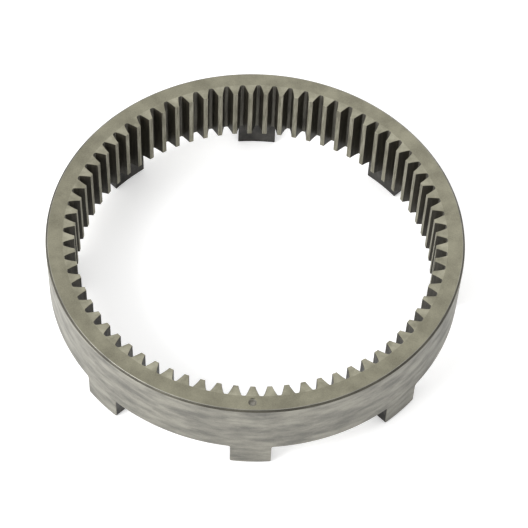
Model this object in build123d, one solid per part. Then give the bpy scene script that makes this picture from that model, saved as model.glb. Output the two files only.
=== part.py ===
"""Internal ring gear with castellated lugs, one solid, in millimetres.

The ring's axis is +Z and its lugs stand on z = 0.  Spur teeth fill the bore over
the full height of the ring, eight lugs point down from its lower face, and a
blind timing dimple in the plain upper face marks the tooth on the -Y axis.
"""

import os
from math import acos, cos, pi, radians, sin, sqrt, tan

from build123d import *

# Ring
RIM_WALL = 6.75             # root circle to outer wall
RING_HEIGHT = 25.5          # face width of the teeth, without the lugs
RIM_CHAMFER = 0.8           # upper outer edge
LOWER_CHAMFER = 0.4         # lower outer edge of the ring, between the lugs

# Internal spur teeth
MODULE = 2.0
TOOTH_COUNT = 71
PRESSURE_ANGLE = 20.0       # degrees
ADDENDUM = 2.0              # pitch circle to tooth tip
DEDENDUM = 2.25             # pitch circle to root
ROOT_FILLET = 0.45
TIP_CHAMFER = 0.2
END_RELIEF = 0.4            # drop of the tooth ends, from the rim to the tips
RELIEF_MARGIN = 0.3         # width of the relief outside the root circle

# Lugs on the lower face
LUG_COUNT = 8
LUG_WIDTH = 15.3
LUG_HEIGHT = 10.5
LUG_SETBACK = 0.25          # lug's inner face outside the root circle
LUG_FILLET = 0.9            # concave corner where a lug meets the ring
LUG_BLEND = 0.03            # depth to which the fillet runs into the ring
LUG_CORNER = 0.4            # rounding of the foot's two ends

# Timing dimple in the upper face
DIMPLE_MOUTH = 3.0
DIMPLE_FLOOR = 1.8
DIMPLE_DEPTH = 1.0
DIMPLE_TO_ROOT = 2.75       # dimple's centre outside the root circle

# Derived sizes
PITCH_RADIUS = MODULE * TOOTH_COUNT / 2
TIP_RADIUS = PITCH_RADIUS - ADDENDUM
ROOT_RADIUS = PITCH_RADIUS + DEDENDUM
OUTER_RADIUS = ROOT_RADIUS + RIM_WALL
BASE_RADIUS = PITCH_RADIUS * cos(radians(PRESSURE_ANGLE))
RING_BOTTOM = LUG_HEIGHT
RING_TOP = LUG_HEIGHT + RING_HEIGHT
LUG_INNER_RADIUS = ROOT_RADIUS + LUG_SETBACK
TOOTH_ANGLE = 360.0 / TOOTH_COUNT
SEAM_ANGLE = 180.0 / LUG_COUNT              # the outer wall's seam lies between two lugs
OVERRUN = 1.0               # how far cutting and joining shapes reach past a face


def involute(angle):
    """Involute function of an angle in radians."""
    return tan(angle) - angle


def space_half_angle(radius):
    """Half the angle, in radians, of the gap between two teeth at a radius."""
    at_pitch = pi / (2 * TOOTH_COUNT) + involute(radians(PRESSURE_ANGLE))
    return at_pitch - involute(acos(min(1.0, BASE_RADIUS / radius)))


def flank_point(radius, side):
    """Point of the gap's flank at a radius, on side +1 or -1 of the +X axis."""
    angle = side * space_half_angle(radius)
    return Vector(radius * cos(angle), radius * sin(angle))


def chamfer_point(side):
    """Point of the tip circle where a tooth's tip chamfer ends, on one side of +X."""
    angle = side * (space_half_angle(TIP_RADIUS) + TIP_CHAMFER / TIP_RADIUS)
    return Vector(TIP_RADIUS * cos(angle), TIP_RADIUS * sin(angle))


def tooth_space():
    """Gap between two teeth, on +X: chamfered mouth, involute flanks and a filleted root."""
    mouth = TIP_RADIUS + TIP_CHAMFER
    middle = (mouth + ROOT_RADIUS) / 2
    inner = TIP_RADIUS - OVERRUN
    below, above = chamfer_point(-1), chamfer_point(+1)
    with BuildSketch() as sketch:
        with BuildLine():
            lower = ThreePointArc(*(flank_point(r, -1) for r in (mouth, middle, ROOT_RADIUS)))
            upper = ThreePointArc(*(flank_point(r, +1) for r in (ROOT_RADIUS, middle, mouth)))
            ThreePointArc(lower @ 1, (ROOT_RADIUS, 0), upper @ 0)
            Polyline(upper @ 1, above, (inner, above.Y), (inner, below.Y), below, lower @ 0)
        make_face()
        roots = [v for v in sketch.vertices() if Vector(v.X, v.Y).length > middle]
        fillet(roots, ROOT_FILLET)
    return sketch.sketch


def toothed_ring():
    """The ring's cross-section, extruded to its height."""
    first_space = -90.0 + TOOTH_ANGLE / 2       # puts a tooth on the -Y axis
    with BuildPart() as ring:
        with BuildSketch(Plane.XY.offset(RING_BOTTOM)):
            with PolarLocations(0, 1, start_angle=SEAM_ANGLE):
                Circle(OUTER_RADIUS)
            Circle(TIP_RADIUS, mode=Mode.SUBTRACT)
            with PolarLocations(0, TOOTH_COUNT, start_angle=first_space):
                add(tooth_space(), mode=Mode.SUBTRACT)
        extrude(amount=RING_HEIGHT)
        chamfer(outer_edge(ring.part, RING_TOP), RIM_CHAMFER)
        chamfer(outer_edge(ring.part, RING_BOTTOM), LOWER_CHAMFER)
    return ring.part


def outer_edge(part, height):
    """The outer circle of a round part at a height."""
    at_height = part.edges().filter_by(GeomType.CIRCLE).filter_by_position(Axis.Z, height, height)
    return at_height.sort_by(SortBy.RADIUS)[-1]


def end_relief():
    """Cone over the upper tooth ends, which slopes them down to the tips."""
    outer = ROOT_RADIUS + RELIEF_MARGIN
    inner = TIP_RADIUS - OVERRUN
    slope = END_RELIEF / (outer - TIP_RADIUS)
    low = RING_TOP - slope * (outer - inner)
    with BuildPart() as cone:
        with BuildSketch(Plane.XZ):
            with BuildLine():
                Polyline((outer, RING_TOP), (inner, RING_TOP), (inner, low), close=True)
            make_face()
        revolve(axis=Axis.Z)
    return cone.part


def lug_profile():
    """A lug seen along its radius: foot, upright sides and flared fillets."""
    half = LUG_WIDTH / 2
    flare = half + LUG_FILLET
    crown = RING_BOTTOM + LUG_BLEND
    start = crown - LUG_FILLET
    diagonal = LUG_FILLET * (1 - 1 / sqrt(2))
    inside = RING_BOTTOM + OVERRUN
    with BuildSketch(Plane.XZ) as sketch:
        with BuildLine():
            Polyline((-half, start), (-half, 0), (half, 0), (half, start))
            ThreePointArc((half, start), (half + diagonal, crown - diagonal), (flare, crown))
            Polyline((flare, crown), (flare, inside), (-flare, inside), (-flare, crown))
            ThreePointArc((-flare, crown), (-half - diagonal, crown - diagonal), (-half, start))
        make_face()
        fillet(sketch.vertices().group_by(Axis.Y)[0], LUG_CORNER)
    return sketch.sketch


def lug():
    """The lug on the -Y axis, flush with the ring's outer wall."""
    bar = extrude(lug_profile(), OUTER_RADIUS + OVERRUN)
    on_floor = (Align.CENTER, Align.CENTER, Align.MIN)
    disc = Cylinder(OUTER_RADIUS, RING_TOP, align=on_floor)
    return bar & (disc - Cylinder(LUG_INNER_RADIUS, RING_TOP, align=on_floor))


def dimple():
    """Blind conical dimple on the -Y axis, in line with a tooth and a lug."""
    centre = -(ROOT_RADIUS + DIMPLE_TO_ROOT)
    with BuildPart() as part:
        with Locations((0, centre, RING_TOP)):
            Cone(
                DIMPLE_FLOOR / 2,
                DIMPLE_MOUTH / 2,
                DIMPLE_DEPTH,
                align=(Align.CENTER, Align.CENTER, Align.MAX),
            )
    return part.part


def ring_gear():
    """The finished gear."""
    ring, foot = toothed_ring() - end_relief() - dimple(), lug()
    with BuildPart() as body:
        add(ring)
        with PolarLocations(0, LUG_COUNT):
            add(foot, clean=False)
    return body.part.solid()


os.makedirs("parts", exist_ok=True)
gear = ring_gear()
gear.label = "ring_gear"
export_step(gear, "parts/ring_gear.step")
print("ring_gear volume", round(gear.volume), "faces", len(gear.faces()))
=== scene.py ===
"""Looks of an internal ring gear: a fine mesh of the toothed ring, its steel finishes, light and camera."""

import logging
import math
from dataclasses import dataclass, field
from enum import Enum

import bmesh
import bpy
import numpy as np
from mathutils import Matrix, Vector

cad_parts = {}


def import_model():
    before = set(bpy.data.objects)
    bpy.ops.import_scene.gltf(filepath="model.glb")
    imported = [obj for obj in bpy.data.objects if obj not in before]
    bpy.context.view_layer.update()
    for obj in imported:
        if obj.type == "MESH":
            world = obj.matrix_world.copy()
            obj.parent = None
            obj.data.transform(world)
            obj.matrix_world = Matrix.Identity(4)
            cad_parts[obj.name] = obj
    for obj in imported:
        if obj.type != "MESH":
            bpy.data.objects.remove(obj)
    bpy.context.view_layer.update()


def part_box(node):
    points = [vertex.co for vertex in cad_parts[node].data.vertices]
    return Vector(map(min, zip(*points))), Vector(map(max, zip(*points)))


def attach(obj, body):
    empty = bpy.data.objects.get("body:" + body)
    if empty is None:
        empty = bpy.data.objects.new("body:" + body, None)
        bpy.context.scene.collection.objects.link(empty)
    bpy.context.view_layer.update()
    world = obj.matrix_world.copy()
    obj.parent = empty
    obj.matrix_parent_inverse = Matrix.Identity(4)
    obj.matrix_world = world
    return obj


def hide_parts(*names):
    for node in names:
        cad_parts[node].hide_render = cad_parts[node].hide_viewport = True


LOG = logging.getLogger("ring_gear")
MM = 0.001
NODE = "ring_gear"
BODY = "root"

Point = tuple[float, float, float]
Grid = list[list[Point]]


class Surface(Enum):
    """The differently worked surfaces of the gear, in the order of its material slots; the flanks, roots,
    lugs and chamfer also carry painted shade or painted reflections in their colours.
    """

    FACE = 0
    TOOTH_END = 1
    FLANK = 2
    LAND = 3
    ROOT = 4
    WALL = 5
    LUG = 6
    DIMPLE = 7
    CHAMFER = 8


def srgb(hex_colour: str) -> tuple[float, float, float, float]:
    """Turns an sRGB hex colour into linear RGBA.

    Args:
        hex_colour: six hex digits after a hash sign.

    Returns:
        The linear red, green, blue and an alpha of 1.
    """
    channels = [int(hex_colour[i : i + 2], 16) / 255 for i in (1, 3, 5)]
    linear = [c / 12.92 if c <= 0.04045 else ((c + 0.055) / 1.055) ** 2.4 for c in channels]
    return (*linear, 1.0)


def per_metre(size_mm: float) -> float:
    """Noise scale, in features per metre, of a pattern whose features are size_mm wide."""
    return 1000.0 / size_mm


def involute(angle: float) -> float:
    """Involute function of an angle in radians."""
    return math.tan(angle) - angle


@dataclass
class ToothForm:
    """One internal tooth gap as a line of points, in millimetres and radians.

    The gap's centre is at angle 0 and the line runs from the middle of one tooth
    land to the middle of the next.
    """

    teeth: int = 71
    module: float = 2.0
    pressure_angle: float = math.radians(20.0)
    addendum: float = 2.0
    dedendum: float = 2.25
    root_fillet: float = 0.45
    tip_round: float = 0.22
    flank_steps: int = 5
    fillet_steps: int = 3

    @property
    def pitch_radius(self) -> float:
        """Radius of the pitch circle."""
        return self.module * self.teeth / 2

    @property
    def tip_radius(self) -> float:
        """Radius of the circle through the tooth lands."""
        return self.pitch_radius - self.addendum

    @property
    def root_radius(self) -> float:
        """Radius of the circle through the roots."""
        return self.pitch_radius + self.dedendum

    def half_gap(self, radius: float) -> float:
        """Half the angle of the gap between two teeth at a radius."""
        base = self.pitch_radius * math.cos(self.pressure_angle)
        at_pitch = math.pi / (2 * self.teeth) + involute(self.pressure_angle)
        return at_pitch - involute(math.acos(min(1.0, base / radius)))

    def flank(self, radius: float) -> np.ndarray:
        """Point of the flank on the positive side at a radius."""
        angle = self.half_gap(radius)
        return np.array([radius * math.cos(angle), radius * math.sin(angle)])

    def corner(
        self, corner: np.ndarray, before: np.ndarray, after: np.ndarray, radius: float
    ) -> list[np.ndarray]:
        """Rounds the corner between two nearly straight runs.

        Args:
            corner: the sharp corner.
            before: a point on the run into the corner.
            after: a point on the run out of it.
            radius: radius of the rounding.

        Returns:
            Points along the arc, from the first run to the second.
        """
        u = (before - corner) / np.linalg.norm(before - corner)
        v = (after - corner) / np.linalg.norm(after - corner)
        half = math.acos(float(np.clip(u @ v, -1, 1))) / 2
        bisector = (u + v) / np.linalg.norm(u + v)
        centre = corner + bisector * radius / math.sin(half)
        start = corner + u * radius / math.tan(half) - centre
        end = corner + v * radius / math.tan(half) - centre
        turn = math.atan2(start[0] * end[1] - start[1] * end[0], float(start @ end))
        points = []
        for k in range(self.fillet_steps + 1):
            a = turn * k / self.fillet_steps
            rot = np.array([[math.cos(a), -math.sin(a)], [math.sin(a), math.cos(a)]])
            points.append(centre + rot @ start)
        return points

    def half_profile(self) -> list[tuple[np.ndarray, Surface]]:
        """The line from the gap's root centre to the middle of the tooth land on the positive side."""
        root, tip = self.root_radius, self.tip_radius
        half_pitch = math.pi / self.teeth
        root_mid = np.array([root, 0.0])
        land_mid = tip * np.array([math.cos(half_pitch), math.sin(half_pitch)])
        low, high = self.flank(root), self.flank(tip)
        fillet = self.corner(low, root_mid, self.flank(root - 0.6), self.root_fillet)
        rounding = self.corner(high, self.flank(tip + 0.4), land_mid, self.tip_round)
        outer = float(np.linalg.norm(fillet[-1]))
        inner = float(np.linalg.norm(rounding[0]))
        line = [(root_mid, Surface.ROOT)]
        line += [(p, Surface.ROOT) for p in fillet[:-1]]
        line.append((fillet[-1], Surface.FLANK))
        for k in range(1, self.flank_steps):
            line.append((self.flank(outer + (inner - outer) * k / self.flank_steps), Surface.FLANK))
        line.append((rounding[0], Surface.FLANK))
        line += [(p, Surface.LAND) for p in rounding[1:]]
        line.append((land_mid, Surface.LAND))
        return line

    def ring(self, first_land: float) -> tuple[np.ndarray, np.ndarray, list[Surface]]:
        """All the gaps' lines, counter-clockwise, from the middle of one tooth land.

        Args:
            first_land: angle of the middle of the first tooth land.

        Returns:
            The points, their unit normals into the steel, and the surface between
            each point and the next.
        """
        half = self.half_profile()
        upper = [p for p, _ in half]
        kinds_up = [kind for _, kind in half]
        lower = [p * np.array([1, -1]) for p in reversed(upper)]
        kinds_low = list(reversed(kinds_up[:-1]))
        line = lower[:-1] + upper[:-1]
        kinds = kinds_low + kinds_up[:-1]
        points, surfaces = [], []
        pitch = 2 * math.pi / self.teeth
        for gap in range(self.teeth):
            a = first_land + pitch * (gap + 0.5)
            rot = np.array([[math.cos(a), -math.sin(a)], [math.sin(a), math.cos(a)]])
            points += [rot @ p for p in line]
            surfaces += kinds
        xy = np.array(points)
        tangent = np.roll(xy, -1, axis=0) - np.roll(xy, 1, axis=0)
        normal = np.stack([tangent[:, 1], -tangent[:, 0]], axis=1)
        normal /= np.linalg.norm(normal, axis=1)[:, None]
        outward = np.sign((normal * xy).sum(axis=1))[:, None]
        return xy, normal * outward, surfaces


@dataclass
class MeshBuilder:
    """Collects grids of points as quads with a surface each, and merges them into one mesh."""

    vertices: list[Point] = field(default_factory=list)
    faces: list[tuple[int, ...]] = field(default_factory=list)
    surfaces: list[int] = field(default_factory=list)

    def grid(self, rows: Grid, surface: Surface | list[Surface], closed: bool = False) -> None:
        """Adds quads between neighbouring rows of points.

        Args:
            rows: rows of equally many points.
            surface: one surface, or one for each step along a row.
            closed: whether the last point of a row joins the first.
        """
        start, width = len(self.vertices), len(rows[0])
        for row in rows:
            self.vertices += [tuple(p) for p in row]
        steps = width if closed else width - 1
        for i in range(len(rows) - 1):
            for j in range(steps):
                k = (j + 1) % width
                a, b = start + i * width, start + (i + 1) * width
                self.faces.append((a + j, a + k, b + k, b + j))
                kind = surface[j] if isinstance(surface, list) else surface
                self.surfaces.append(kind.value)

    def polygon(self, points: list[Point], surface: Surface) -> None:
        """Adds one face through the points."""
        start = len(self.vertices)
        self.vertices += [tuple(p) for p in points]
        self.faces.append(tuple(range(start, start + len(points))))
        self.surfaces.append(surface.value)

    def build(self, name: str, merge_mm: float = 0.002) -> bpy.types.Object:
        """Turns what was collected into one closed mesh object in metres.

        Args:
            name: name of the object.
            merge_mm: points closer than this become one.

        Returns:
            The new object, linked to the scene.
        """
        mesh = bpy.data.meshes.new(name)
        mesh.from_pydata([tuple(c * MM for c in p) for p in self.vertices], [], self.faces)
        mesh.polygons.foreach_set("material_index", self.surfaces)
        work = bmesh.new()
        work.from_mesh(mesh)
        bmesh.ops.remove_doubles(work, verts=work.verts, dist=merge_mm * MM)
        bmesh.ops.dissolve_degenerate(work, edges=work.edges, dist=merge_mm * MM)
        bmesh.ops.recalc_face_normals(work, faces=work.faces)
        loose = sum(1 for e in work.edges if not e.is_manifold)
        LOG.info("%s: %d vertices, %d faces, %d open edges", name, len(work.verts), len(work.faces), loose)
        work.to_mesh(mesh)
        work.free()
        piece = bpy.data.objects.new(name, mesh)
        bpy.context.scene.collection.objects.link(piece)
        return piece


@dataclass
class RingGear:
    """The gear's body: toothed bore, plain rim, lugs and timing dimple, in millimetres."""

    outer_radius: float
    top: float
    form: ToothForm = field(default_factory=ToothForm)
    lug_height: float = 10.5
    lug_width: float = 15.3
    lug_count: int = 8
    lug_setback: float = 0.25
    lug_fillet: float = 0.9
    foot_corner: float = 0.4
    lower_round: float = 0.3
    rim_chamfer: float = 0.8
    chamfer_round: float = 0.16
    end_relief: float = 0.4
    relief_margin: float = 0.3
    tooth_edge: float = 0.14
    tooth_foot_edge: float = 0.22
    dimple_mouth: float = 3.0
    dimple_floor: float = 1.8
    dimple_depth: float = 1.0
    dimple_to_root: float = 2.75
    dimple_patch: float = 2.4
    band_above_lugs: float = 1.3

    def build(self) -> bpy.types.Object:
        """Makes the whole gear as one mesh."""
        self.mesh = MeshBuilder()
        self.xy, self.normal, self.kinds = self.form.ring(-math.pi / 2)
        self.theta = np.unwrap(np.arctan2(self.xy[:, 1], self.xy[:, 0]))
        self.lug_inner = self.form.root_radius + self.lug_setback
        self.band = self.lug_height + self.band_above_lugs
        self.add_bore()
        self.add_top()
        self.add_wall()
        self.add_underside()
        return self.mesh.build("toothed_ring")

    def relief_height(self, radius: float) -> float:
        """Height of the upper face at a radius: flat, then sloping down to the tooth tips."""
        outer = self.form.root_radius + self.relief_margin
        slope = self.end_relief / (outer - self.form.tip_radius)
        return self.top - slope * max(0.0, outer - radius)

    def offset_row(self, inset: float, height: float, from_top: float | None = None) -> list[Point]:
        """A row along the tooth line, moved into the steel.

        Args:
            inset: distance from the tooth line.
            height: height of the row, or none of it if from_top is given.
            from_top: depth of the row under the sloped tooth ends.

        Returns:
            One point for each column.
        """
        xy = self.xy + self.normal * inset
        if from_top is None:
            return [(x, y, height) for x, y in xy]
        return [(x, y, self.relief_height(math.hypot(x, y)) - from_top) for x, y in xy]

    def add_bore(self) -> None:
        """Adds the tooth flanks, lands and roots, with rounded ends at both faces."""
        low = self.lug_height
        rows = []
        for k in range(3):
            a = math.pi / 2 * k / 3
            e = self.tooth_foot_edge
            rows.append(self.offset_row(e * (1 - math.sin(a)), low + e * (1 - math.cos(a))))
        for share in (0.0, 0.25, 0.5, 0.75, 1.0):
            bottom, top = low + self.tooth_foot_edge, self.top - self.end_relief - self.tooth_edge
            rows.append(self.offset_row(0, bottom + (top - bottom) * share))
        for k in range(4):
            a = math.pi / 2 * k / 3
            e = self.tooth_edge
            rows.append(self.offset_row(e * (1 - math.cos(a)), 0, from_top=e * (1 - math.sin(a))))
        self.mesh.grid(rows, self.kinds, closed=True)
        self.bore_bottom, self.bore_top = rows[0], rows[-1]

    def circle(self, radius: float, height: float) -> list[Point]:
        """A full circle with a point on each column."""
        return [(radius * math.cos(t), radius * math.sin(t), height) for t in self.theta]

    def add_top(self) -> None:
        """Adds the sloped tooth ends, the flat rim with its dimple, and the rim's chamfer."""
        edge = self.form.root_radius + self.relief_margin
        start = np.array(self.bore_top)
        stop = np.array(self.circle(edge - 0.1, self.relief_height(edge - 0.1)))
        rows = []
        for share in (0.0, 0.5, 1.0):
            row = start + (stop - start) * share
            rows.append([(x, y, self.relief_height(math.hypot(x, y))) for x, y, _ in row])
        self.mesh.grid(rows, Surface.TOOTH_END, closed=True)
        crease = [rows[-1], self.circle(edge + 0.1, self.top - 0.004), self.circle(edge + 0.25, self.top)]
        self.mesh.grid(crease, Surface.FACE, closed=True)
        flat_end = self.outer_radius - self.rim_chamfer - self.chamfer_round
        radii = np.linspace(edge + 0.25, flat_end, 9)
        rows = [self.circle(r, self.top) for r in radii]
        self.add_rim_with_dimple(rows)
        self.add_chamfer(rows[-1])

    def add_rim_with_dimple(self, rows: Grid) -> None:
        """Adds the flat rim, leaving out the patch round the dimple and filling it with the dimple.

        Args:
            rows: circles of the rim, from the teeth outwards.
        """
        centre = (0.0, -(self.form.root_radius + self.dimple_to_root))
        width = len(rows[0])
        half = self.dimple_patch / abs(centre[1])
        near = {j for j in range(width) if self.angle_from_front(self.theta[j]) < half}
        order = self.run_of(near, width)
        first, last = order[0], order[-1]
        lo, hi = 1, len(rows) - 2
        start = len(self.mesh.vertices)
        for row in rows:
            self.mesh.vertices += [tuple(p) for p in row]
        skipped = set(order[:-1])
        for i in range(len(rows) - 1):
            for j in range(width):
                if lo <= i < hi and j in skipped:
                    continue
                k = (j + 1) % width
                a, b = start + i * width, start + (i + 1) * width
                self.mesh.faces.append((a + j, a + k, b + k, b + j))
                self.mesh.surfaces.append(Surface.FACE.value)
        loop = [rows[lo][j] for j in order]
        loop += [rows[i][last] for i in range(lo + 1, hi)]
        loop += [rows[hi][j] for j in reversed(order)]
        loop += [rows[i][first] for i in range(hi - 1, lo, -1)]
        self.add_dimple(loop, centre)

    def angle_from_front(self, angle: float) -> float:
        """Size of the angle between a direction and the front, -Y."""
        return abs(math.remainder(angle + math.pi / 2, 2 * math.pi))

    @staticmethod
    def run_of(columns: set[int], width: int) -> list[int]:
        """Sorts neighbouring columns, which may run past the last one, into their order."""
        first = next(j for j in columns if (j - 1) % width not in columns)
        return [(first + k) % width for k in range(len(columns))]

    def add_dimple(self, loop: list[Point], centre: tuple[float, float]) -> None:
        """Fills a loop in the upper face with a conical dimple.

        Args:
            loop: points round the dimple, in the upper face.
            centre: the dimple's centre.
        """
        mouth, floor, depth = self.dimple_mouth / 2, self.dimple_floor / 2, self.dimple_depth
        stations = [
            (mouth + 0.35, 0.0, Surface.FACE),
            (mouth + 0.12, 0.0, Surface.FACE),
            (mouth + 0.02, 0.04, Surface.FACE),
            (mouth - 0.06, 0.14, Surface.DIMPLE),
            ((mouth + floor) / 2, depth / 2, Surface.DIMPLE),
            (floor + 0.04, depth - 0.06, Surface.DIMPLE),
            (floor - 0.1, depth, Surface.DIMPLE),
            (floor * 0.5, depth, Surface.DIMPLE),
        ]
        angles = [math.atan2(p[1] - centre[1], p[0] - centre[0]) for p in loop]
        previous = loop
        for radius, down, surface in stations:
            row = [
                (centre[0] + radius * math.cos(a), centre[1] + radius * math.sin(a), self.top - down)
                for a in angles
            ]
            self.mesh.grid([previous, row], surface, closed=True)
            previous = row
        self.mesh.polygon(previous, Surface.DIMPLE)

    def add_chamfer(self, inner: list[Point]) -> None:
        """Adds the 45 degree chamfer of the rim, with both its edges softly rounded.

        Args:
            inner: the outermost circle of the flat rim.
        """
        c, e, r = self.rim_chamfer, self.chamfer_round, self.outer_radius
        stations = [
            (r - c - e * 0.35, 0.02),
            (r - c + e * 0.35, e * 0.75),
            (r - c / 2, c / 2),
            (r - e * 0.75, c - e * 0.35),
            (r - 0.02, c + e * 0.35),
            (r, c + e),
        ]
        rows = [inner] + [self.circle(radius, self.top - down) for radius, down in stations]
        self.mesh.grid(rows[:3], Surface.WALL, closed=True)
        self.mesh.grid(rows[2:5], Surface.CHAMFER, closed=True)
        self.mesh.grid(rows[4:], Surface.WALL, closed=True)
        self.wall_top = rows[-1]

    def lug_spans(self) -> list[tuple[float, list[int]]]:
        """The centre angle and the columns of each lug, fillets included."""
        width = len(self.theta)
        reach = math.asin((self.lug_width / 2 + self.lug_fillet) / self.outer_radius)
        spans = []
        for k in range(self.lug_count):
            centre = -math.pi / 2 + 2 * math.pi * k / self.lug_count
            off = [math.remainder(t - centre, 2 * math.pi) for t in self.theta]
            near = {j for j in range(width) if abs(off[j]) < reach + 0.004}
            spans.append((centre, self.run_of(near, width)))
        return spans

    def add_wall(self) -> None:
        """Adds the outer wall from the chamfer down to a band above the lugs."""
        heights = np.linspace(self.wall_top[0][2], self.band + 1.5, 5)
        rows = [self.circle(self.outer_radius, h) for h in heights]
        self.mesh.grid(rows, Surface.WALL, closed=True)
        self.wall_bottom = rows[-1]

    def warped_angles(self, radius: float) -> tuple[np.ndarray, dict[int, tuple[float, float]]]:
        """Column angles at a radius, moved so that columns follow the lugs' parallel sides.

        Args:
            radius: where the columns are taken.

        Returns:
            The angle of each column, and for columns on a lug its centre angle and their
            distance from its middle.
        """
        angles = self.theta.copy()
        width = len(angles)
        places: dict[int, tuple[float, float]] = {}
        for centre, order in self.spans:
            line = self.tangential(len(order))
            for j, t in zip(order, line):
                target = centre + math.asin(t / radius)
                angles[j] += math.remainder(target - self.theta[j], 2 * math.pi)
                places[j] = (centre, t)
        self.ease_between(angles, width)
        return angles, places

    def ease_between(self, angles: np.ndarray, width: int) -> None:
        """Spreads the shift of the lugs' outermost columns over the columns between the lugs."""
        orders = [order for _, order in self.spans]
        for here, there in zip(orders, orders[1:] + orders[:1]):
            a, b = here[-1], there[0]
            steps = (b - a) % width
            shift_a = angles[a] - self.theta[a]
            shift_b = angles[b] - self.theta[b]
            for k in range(1, steps):
                j = (a + k) % width
                angles[j] = self.theta[j] + shift_a + (shift_b - shift_a) * k / steps

    def tangential(self, count: int) -> list[float]:
        """Tangential places of a lug's columns: fillet, side, foot corner, foot, and mirrored."""
        half, fillet, corner = self.lug_width / 2, self.lug_fillet, self.foot_corner
        arc = [half + fillet * (1 - math.sin(math.radians(a))) for a in (0, 30, 60, 90)]
        foot = np.linspace(-(half - corner), half - corner, count - 2 * len(arc))
        return [-t for t in arc] + [float(t) for t in foot] + list(reversed(arc))

    def add_underside(self) -> None:
        """Adds the lower face between the teeth and the wall, and the lugs."""
        self.spans = self.lug_spans()
        width = len(self.theta)
        low = self.lug_height
        inner, self.places = self.warped_angles(self.lug_inner)
        outer, _ = self.warped_angles(self.outer_radius)
        inner_row = [(self.lug_inner * math.cos(a), self.lug_inner * math.sin(a), low) for a in inner]
        self.mesh.grid([self.bore_bottom, inner_row], Surface.FACE, closed=True)
        r = self.outer_radius
        band_row = [(r * math.cos(a), r * math.sin(a), self.band) for a in outer]
        self.mesh.grid([self.wall_bottom, band_row], Surface.WALL, closed=True)
        on_lug = set(self.places)
        for j in range(width):
            k = (j + 1) % width
            if j in on_lug and k in on_lug:
                continue
            self.add_gap_step(inner, outer, j, k)
        for centre, order in self.spans:
            self.add_lug(centre, order)

    def column_angle(self, column: int, radius: float, inner: float, outer: float) -> float:
        """Angle of a column at a radius; on a lug it keeps its distance from the lug's middle."""
        if column in self.places:
            centre, place = self.places[column]
            return centre + math.asin(place / radius)
        share = (radius - self.lug_inner) / (self.outer_radius - self.lug_inner)
        return inner + (outer - inner) * share

    def edge_stations(self) -> list[tuple[float, float]]:
        """Radius and inset of the rows from the lugs' inner radius over the rounded lower edge."""
        e, r = self.lower_round, self.outer_radius
        stations = [(self.lug_inner, 0.0), ((self.lug_inner + r) / 2, 0.0)]
        for k in range(4):
            a = math.pi / 2 * k / 3
            stations.append((r - e + e * math.sin(a), e * (1 - math.cos(a))))
        return stations

    def add_gap_step(self, inner: np.ndarray, outer: np.ndarray, j: int, k: int) -> None:
        """Adds the lower face, its rounded edge and the wall between two columns off the lugs."""
        rows = []
        for radius, inset in self.edge_stations():
            row = []
            for c in (j, k):
                a = self.column_angle(c, radius, inner[c], outer[c])
                row.append((radius * math.cos(a), radius * math.sin(a), self.lug_height + inset))
            rows.append(row)
        self.mesh.grid(rows[:3], Surface.FACE)
        self.mesh.grid(rows[2:], Surface.WALL)
        r = self.outer_radius
        top = [(r * math.cos(outer[c]), r * math.sin(outer[c]), self.band) for c in (j, k)]
        self.mesh.grid([rows[-1], top], Surface.WALL)

    def add_lug(self, centre: float, order: list[int]) -> None:
        """Adds one lug: under-surface swept along the radius, and its inner and outer faces.

        Args:
            centre: angle of the lug's middle.
            order: the columns that it takes up.
        """
        outline = self.lug_outline(len(order))
        rows = []
        for radius, inset in self.edge_stations():
            rows.append([self.on_lug(centre, radius, t, z, nt, nz, inset) for t, z, nt, nz in outline])
        self.mesh.grid(rows[:3], Surface.LUG)
        self.mesh.grid(rows[2:], Surface.WALL)
        self.add_lug_face(centre, len(order), self.outer_radius, self.lower_round, self.band, Surface.WALL)
        self.add_lug_face(centre, len(order), self.lug_inner, 0.0, self.lug_height, Surface.LUG)

    def on_lug(
        self, centre: float, radius: float, t: float, z: float, nt: float, nz: float, inset: float
    ) -> Point:
        """Point of a lug at a radius, a tangential place and a height, moved by inset along (nt, nz)."""
        t, z = t + nt * inset, z + nz * inset
        across = math.sqrt(radius * radius - t * t)
        c, s = math.cos(centre), math.sin(centre)
        return (across * c - t * s, across * s + t * c, z)

    def side_heights(self) -> list[float]:
        """Heights of the points down a lug's side, from the fillet to the foot's corner."""
        top, low = self.lug_height - self.lug_fillet, self.foot_corner
        return [float(h) for h in np.linspace(top, low, 5)]

    def lug_outline(self, count: int) -> list[tuple[float, float, float, float]]:
        """Outline of a lug seen along its radius: place, height and direction into the steel."""
        half, fillet, corner = self.lug_width / 2, self.lug_fillet, self.foot_corner
        left: list[tuple[float, float, float, float]] = []
        for degrees in (0, 30, 60, 90):
            a = math.radians(degrees)
            reach = half + fillet * (1 - math.sin(a))
            left.append((-reach, self.lug_height - fillet * (1 - math.cos(a)), math.sin(a), math.cos(a)))
        left += [(-half, h, 1.0, 0.0) for h in self.side_heights()[1:]]
        for degrees in (30, 60, 90):
            a = math.radians(degrees)
            reach = half - corner + corner * math.cos(a)
            left.append((-reach, corner * (1 - math.sin(a)), math.cos(a), math.sin(a)))
        foot = np.linspace(-(half - corner), half - corner, count - 8)[1:-1]
        right = [(-t, z, -nt, nz) for t, z, nt, nz in reversed(left)]
        return left + [(float(t), 0.0, 0.0, 1.0) for t in foot] + right

    def add_lug_face(
        self, centre: float, count: int, radius: float, inset: float, upper: float, surface: Surface
    ) -> None:
        """Fills a lug's inner or outer face between its outline and a level line.

        Args:
            centre: angle of the lug's middle.
            count: columns of the lug.
            radius: radius of the face.
            inset: inset of the outline at this face.
            upper: height of the level line.
            surface: what the face is made as.
        """
        half, corner = self.lug_width / 2, self.foot_corner
        places = self.tangential(count)
        foot = places[4:-4]

        def at(t: float, z: float) -> Point:
            """Point of the face."""
            return self.on_lug(centre, radius, t, z, 0.0, 0.0, 0.0)

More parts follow.
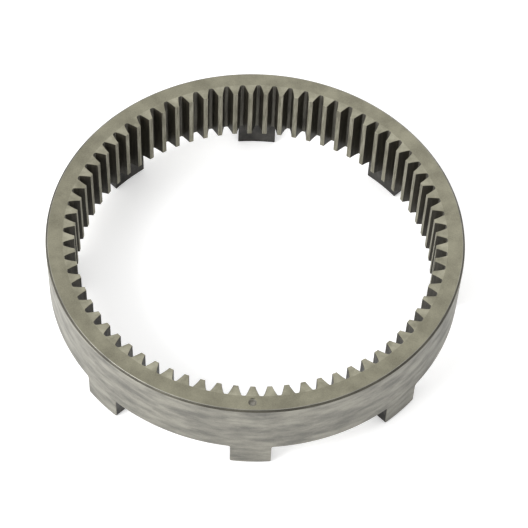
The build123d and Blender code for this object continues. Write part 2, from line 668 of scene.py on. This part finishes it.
        outline = self.lug_outline(count)
        for side in (-1, 1):
            arc = [(t + nt * inset, z + nz * inset) for t, z, nt, nz in outline[:4]]
            tops = [at(-side * t, upper) for t in places[:4]]
            lows = [at(-side * t, z) for t, z in arc]
            self.mesh.grid([tops, lows], surface)
            corner_arc = [(t + nt * inset, z + nz * inset) for t, z, nt, nz in outline[7:11]]
            ring = [at(-side * t, z) for t, z in corner_arc] + [at(side * (half - corner), corner)]
            self.mesh.polygon(ring, surface)
            near = [at(side * (half - inset), h) for h in self.side_heights()]
            far = [at(side * (half - corner), h) for h in self.side_heights()]
            self.mesh.grid([near, far], surface)
            head = [at(side * half, upper), at(side * (half - corner), upper)]
            self.mesh.grid([head, [near[0], far[0]]], surface)
        rows = [[at(t, upper) for t in foot]]
        rows += [[at(t, h) for t in foot] for h in self.side_heights()]
        rows.append([at(t, inset) for t in foot])
        self.mesh.grid(rows, surface)


@dataclass(frozen=True)
class Steel:
    """One worked steel surface.

    Attributes:
        name: name of the material.
        base: colour of the metal.
        shade: colour of its darker patches.
        metallic: how metallic the surface is.
        roughness: how matt it is.
        grain_mm: size of the fine grain.
        patch_mm: size of the patches, along the three axes.
        grain_share: how far the grain moves the colour towards the shade.
        bump_mm: height of the grain.
    """

    name: str
    base: str
    shade: str
    metallic: float = 0.55
    roughness: float = 0.5
    grain_mm: float = 0.5
    patch_mm: tuple[float, float, float] = (9.0, 9.0, 9.0)
    grain_share: float = 0.35
    bump_mm: float = 0.03

    def material(self) -> bpy.types.Material:
        """Makes the Blender material."""
        made = bpy.data.materials.new(self.name)
        made.use_nodes = True
        tree = made.node_tree
        shader = tree.nodes["Principled BSDF"]
        place = node(tree, "ShaderNodeTexCoord")
        grain = node(tree, "ShaderNodeTexNoise", Scale=per_metre(self.grain_mm), Detail=4.0)
        link(tree, place, "Object", grain, "Vector")
        stretch = node(tree, "ShaderNodeMapping", Scale=tuple(per_metre(p) for p in self.patch_mm))
        link(tree, place, "Object", stretch, "Vector")
        patches = node(tree, "ShaderNodeTexNoise", Scale=1.0, Detail=6.0, Roughness=0.62)
        link(tree, stretch, "Vector", patches, "Vector")
        spread = node(tree, "ShaderNodeMapRange")
        for name, value in (("From Min", 0.36), ("From Max", 0.64)):
            spread.inputs[name].default_value = value
        link(tree, patches, "Fac", spread, "Value")
        share = node(tree, "ShaderNodeMix", Factor=self.grain_share)
        link(tree, spread, "Result", share, "A")
        link(tree, grain, "Fac", share, "B")
        colour = node(tree, "ShaderNodeValToRGB")
        colour.color_ramp.elements[0].color = srgb(self.shade)
        colour.color_ramp.elements[1].color = srgb(self.base)
        link(tree, share, "Result", colour, "Fac")
        link(tree, colour, "Color", shader, "Base Color")
        rough = node(tree, "ShaderNodeMapRange")
        rough.inputs["To Min"].default_value = self.roughness + 0.08
        rough.inputs["To Max"].default_value = self.roughness - 0.08
        link(tree, share, "Result", rough, "Value")
        link(tree, rough, "Result", shader, "Roughness")
        bump = node(tree, "ShaderNodeBump", Strength=0.6, Distance=self.bump_mm * MM)
        link(tree, grain, "Fac", bump, "Height")
        link(tree, bump, "Normal", shader, "Normal")
        shader.inputs["Metallic"].default_value = self.metallic
        return made


# What each finish gives the eye: a fine sanded face, paler sheared tooth ends, flanks painted dark
# as painted shade, with upright broaching marks, paler speckled lands, a drawn wall with long soft streaks,
# and a chamfer painted dark as a painted reflection of dark surroundings, between two rounded edges that
# catch the light.
FINISHES: dict[Surface, Steel] = {
    Surface.FACE: Steel("ground_steel_face", "#96937F", "#625F50", 0.5, grain_share=0.62),
    Surface.TOOTH_END: Steel("sheared_tooth_end", "#A5A28F", "#6A6756", 0.45, grain_mm=0.4, bump_mm=0.05),
    # Painted shade: the flanks' dark base and shade colours stand in for the shade in the tooth gaps.
    Surface.FLANK: Steel("flank_painted_shade", "#454136", "#1C1A14", 0.3, 0.45, patch_mm=(1.2, 1.2, 14.0)),
    Surface.LAND: Steel("pale_speckled_tooth_land", "#ABA896", "#5E5A4C", patch_mm=(0.8, 0.8, 9.0)),
    # Painted shade: the roots' dark colours stand in for the shade at the bottoms of the tooth gaps.
    Surface.ROOT: Steel("root_painted_shade", "#726F64", "#33302A", 0.4, patch_mm=(1.0, 1.0, 12.0)),
    Surface.WALL: Steel("drawn_outer_wall", "#A5A296", "#666560", 0.55, 0.42, patch_mm=(14.0, 14.0, 4.0)),
    # Painted reflection: the lugs' near-black colours stand in for the dark surroundings that their faces
    # reflect.
    Surface.LUG: Steel("lug_painted_dark_reflection", "#4F4D49", "#1E1D1B", 0.35, 0.5),
    Surface.DIMPLE: Steel("drilled_dimple", "#9A978D", "#3A3832", 0.5, 0.4),
    # Painted reflection: the chamfer's dark colours stand in for the dark surroundings that it mirrors.
    Surface.CHAMFER: Steel("chamfer_painted_dark_reflection", "#5A574C", "#35332C", 0.45, 0.5),
}


def node(tree: bpy.types.NodeTree, kind: str, **values: object) -> bpy.types.Node:
    """Adds a node and sets its named inputs."""
    made = tree.nodes.new(kind)
    for name, value in values.items():
        made.inputs[name].default_value = value
    return made


def link(
    tree: bpy.types.NodeTree, source: bpy.types.Node, output: str, target: bpy.types.Node, entry: str
) -> None:
    """Joins an output of one node to an input of another."""
    tree.links.new(source.outputs[output], target.inputs[entry])


@dataclass(frozen=True)
class ProductCamera:
    """The camera: seen from the front and well above, with a long lens."""

    tilt: float = 0.95272
    turn: float = math.radians(-1.5)
    roll: float = 0.04809
    distance: float = 9.24146
    across: float = 0.04641
    upwards: float = -0.15193
    lens: float = 132.17

    def add(self, radius: float, top: float) -> None:
        """Adds the camera.

        Args:
            radius: the gear's outer radius, in which the distances are given, in metres.
            top: height of the gear's upper face, in metres.
        """
        spin = Matrix.Rotation(self.turn, 3, "Z")
        tip = Matrix.Rotation(math.pi / 2 - self.tilt, 3, "X")
        level = spin @ tip
        place = level @ Matrix.Identity(3).col[2] * self.distance
        place += level.col[0] * self.across + level.col[1] * self.upwards
        data = bpy.data.cameras.new("camera")
        data.lens, data.sensor_width = self.lens, 36.0
        camera = bpy.data.objects.new("camera", data)
        turned = (level @ Matrix.Rotation(self.roll, 3, "Z")).to_4x4()
        camera.matrix_world = Matrix.Translation(place * radius + Matrix.Identity(3).col[2] * top) @ turned
        bpy.context.scene.collection.objects.link(camera)
        bpy.context.scene.camera = camera


@dataclass(frozen=True)
class Studio:
    """White surroundings and soft light."""

    surroundings: float = 0.85

    def add(self) -> None:
        """Adds the world, the floor and the lamps."""
        self.add_world()
        self.add_floor()
        self.add_lamp("key", (-0.6, -0.35, 0.55), 0.45, 5.5)
        self.add_lamp("back", (0.25, 0.7, 0.6), 0.5, 1.2)

    def add_world(self) -> None:
        """Adds an even world that looks white wherever it is seen directly."""
        world = bpy.data.worlds.new("studio")
        bpy.context.scene.world = world
        world.use_nodes = True
        tree = world.node_tree
        lit = tree.nodes["Background"]
        lit.inputs["Strength"].default_value = self.surroundings
        lit.inputs["Color"].default_value = (1, 1, 1, 1)
        seen = node(tree, "ShaderNodeBackground", Color=(1, 1, 1, 1), Strength=1.0)
        rays, mix = node(tree, "ShaderNodeLightPath"), node(tree, "ShaderNodeMixShader")
        link(tree, rays, "Is Camera Ray", mix, "Fac")
        tree.links.new(lit.outputs["Background"], mix.inputs[1])
        tree.links.new(seen.outputs["Background"], mix.inputs[2])
        link(tree, mix, "Shader", tree.nodes["World Output"], "Surface")

    def add_floor(self) -> None:
        """Adds the white floor that the gear stands on."""
        bpy.ops.mesh.primitive_plane_add(size=6.0, location=(0, 0, -0.0004))
        floor = bpy.context.object
        floor.name = "floor"
        made = bpy.data.materials.new("white_floor")
        made.use_nodes = True
        tree = made.node_tree
        matt = tree.nodes["Principled BSDF"]
        matt.inputs["Base Color"].default_value = (0.9, 0.9, 0.9, 1)
        matt.inputs["Roughness"].default_value = 1.0
        glow, rays = node(tree, "ShaderNodeEmission", Strength=0.35), node(tree, "ShaderNodeLightPath")
        both, mix = node(tree, "ShaderNodeAddShader"), node(tree, "ShaderNodeMixShader")
        tree.links.new(matt.outputs["BSDF"], both.inputs[0])
        tree.links.new(glow.outputs["Emission"], both.inputs[1])
        link(tree, rays, "Is Camera Ray", mix, "Fac")
        tree.links.new(matt.outputs["BSDF"], mix.inputs[1])
        tree.links.new(both.outputs["Shader"], mix.inputs[2])
        link(tree, mix, "Shader", tree.nodes["Material Output"], "Surface")
        floor.data.materials.append(made)

    def add_lamp(self, name: str, place: tuple[float, float, float], size: float, power: float) -> None:
        """Adds a square lamp that faces the gear.

        Args:
            name: name of the lamp.
            place: where it hangs, in metres.
            size: length of its side, in metres.
            power: its power in watts.
        """
        data = bpy.data.lights.new(name, "AREA")
        data.size, data.energy = size, power
        lamp = bpy.data.objects.new(name, data)
        lamp.location = place
        lamp.rotation_euler = lamp.location.to_track_quat("Z", "Y").to_euler()
        bpy.context.scene.collection.objects.link(lamp)


def dress(piece: bpy.types.Object) -> None:
    """Gives the gear its finishes and joins it to the frame."""
    for surface in Surface:
        piece.data.materials.append(FINISHES[surface].material())
    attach(piece, BODY)
    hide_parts(NODE)


def main() -> None:
    """Builds the scene."""
    logging.basicConfig(level=logging.INFO)
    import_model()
    low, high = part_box(NODE)
    gear = RingGear(outer_radius=high.x / MM, top=high.z / MM)
    dress(gear.build())
    Studio().add()
    ProductCamera().add(high.x, high.z)
    bpy.context.scene.view_settings.view_transform = "Standard"


if __name__ == "__main__":
    main()
